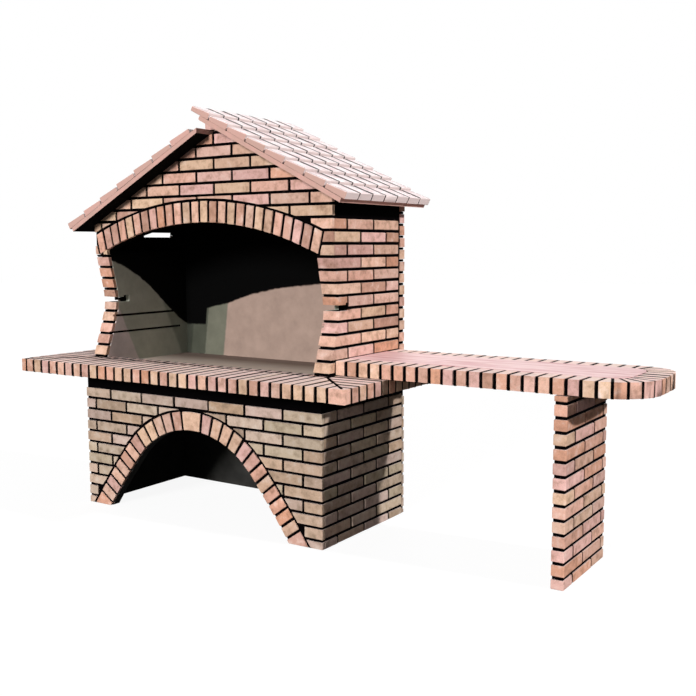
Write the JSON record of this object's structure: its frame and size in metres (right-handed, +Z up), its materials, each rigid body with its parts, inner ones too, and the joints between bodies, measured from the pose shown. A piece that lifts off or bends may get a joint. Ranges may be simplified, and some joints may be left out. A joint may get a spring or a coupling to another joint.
{
  "type": "outdoor masonry barbecue",
  "caption": "Brick-faced outdoor masonry barbecue with an arched wood store, arched firebox, tiled gable roof and a side table on a brick pier.",
  "frame": {"origin": "middle of the object's overall box, on the ground", "axes": "+Z up, +X along the counter to the side table's round end, -Y out of the front"},
  "size_m": [3.365, 1.001, 2.1359],
  "materials": {
    "brick": "matte",
    "pointing": "matte",
    "concrete": "matte",
    "refractory": "matte",
    "roof_concrete": "matte",
    "roof_tile": "matte",
    "inlay": "matte"
  },
  "bodies": {
    "root": {"base_front_panel": "concrete", "base_left_panel": "concrete", "base_right_panel": "concrete", "base_back_panel": "concrete", "base_arch_bricks": "brick", "base_arch_keystone": "brick", "base_arch_pointing": "pointing", "base_front_bricks": "brick", "base_front_pointing": "pointing", "base_back_bricks": "brick", "base_back_pointing": "pointing", "base_right_bricks": "brick", "base_right_pointing": "pointing", "base_left_bricks": "brick", "base_left_pointing": "pointing", "counter_slab": "concrete", "counter_rim_bricks": "brick", "counter_rim_pointing": "pointing", "hearth_slab": "refractory", "hearth_curb": "concrete", "jamb_left_bricks": "brick", "jamb_left_pointing": "pointing", "jamb_right_bricks": "brick", "jamb_right_pointing": "pointing", "gable_core": "concrete", "lintel_arch_bricks": "brick", "lintel_arch_pointing": "pointing", "gable_bricks": "brick", "gable_pointing": "pointing", "firebox_left_panel": "concrete", "firebox_right_panel": "concrete", "firebox_back_panel": "refractory", "lining_left": "refractory", "lining_right": "refractory", "firebox_left_bricks": "brick", "firebox_left_pointing": "pointing", "firebox_right_bricks": "brick", "firebox_right_pointing": "pointing", "firebox_back_bricks": "brick", "firebox_back_pointing": "pointing", "roof_slab_left": "roof_concrete", "roof_slab_right": "roof_concrete", "roof_tiles_left": "roof_tile", "roof_tiles_right": "roof_tile", "table_slab": "concrete", "table_rim_bricks": "brick", "table_rim_pointing": "pointing", "table_inlay_front": "inlay", "table_inlay_back": "inlay", "pier_bricks": "brick", "pier_pointing": "pointing"}
  },
  "joints": []
}
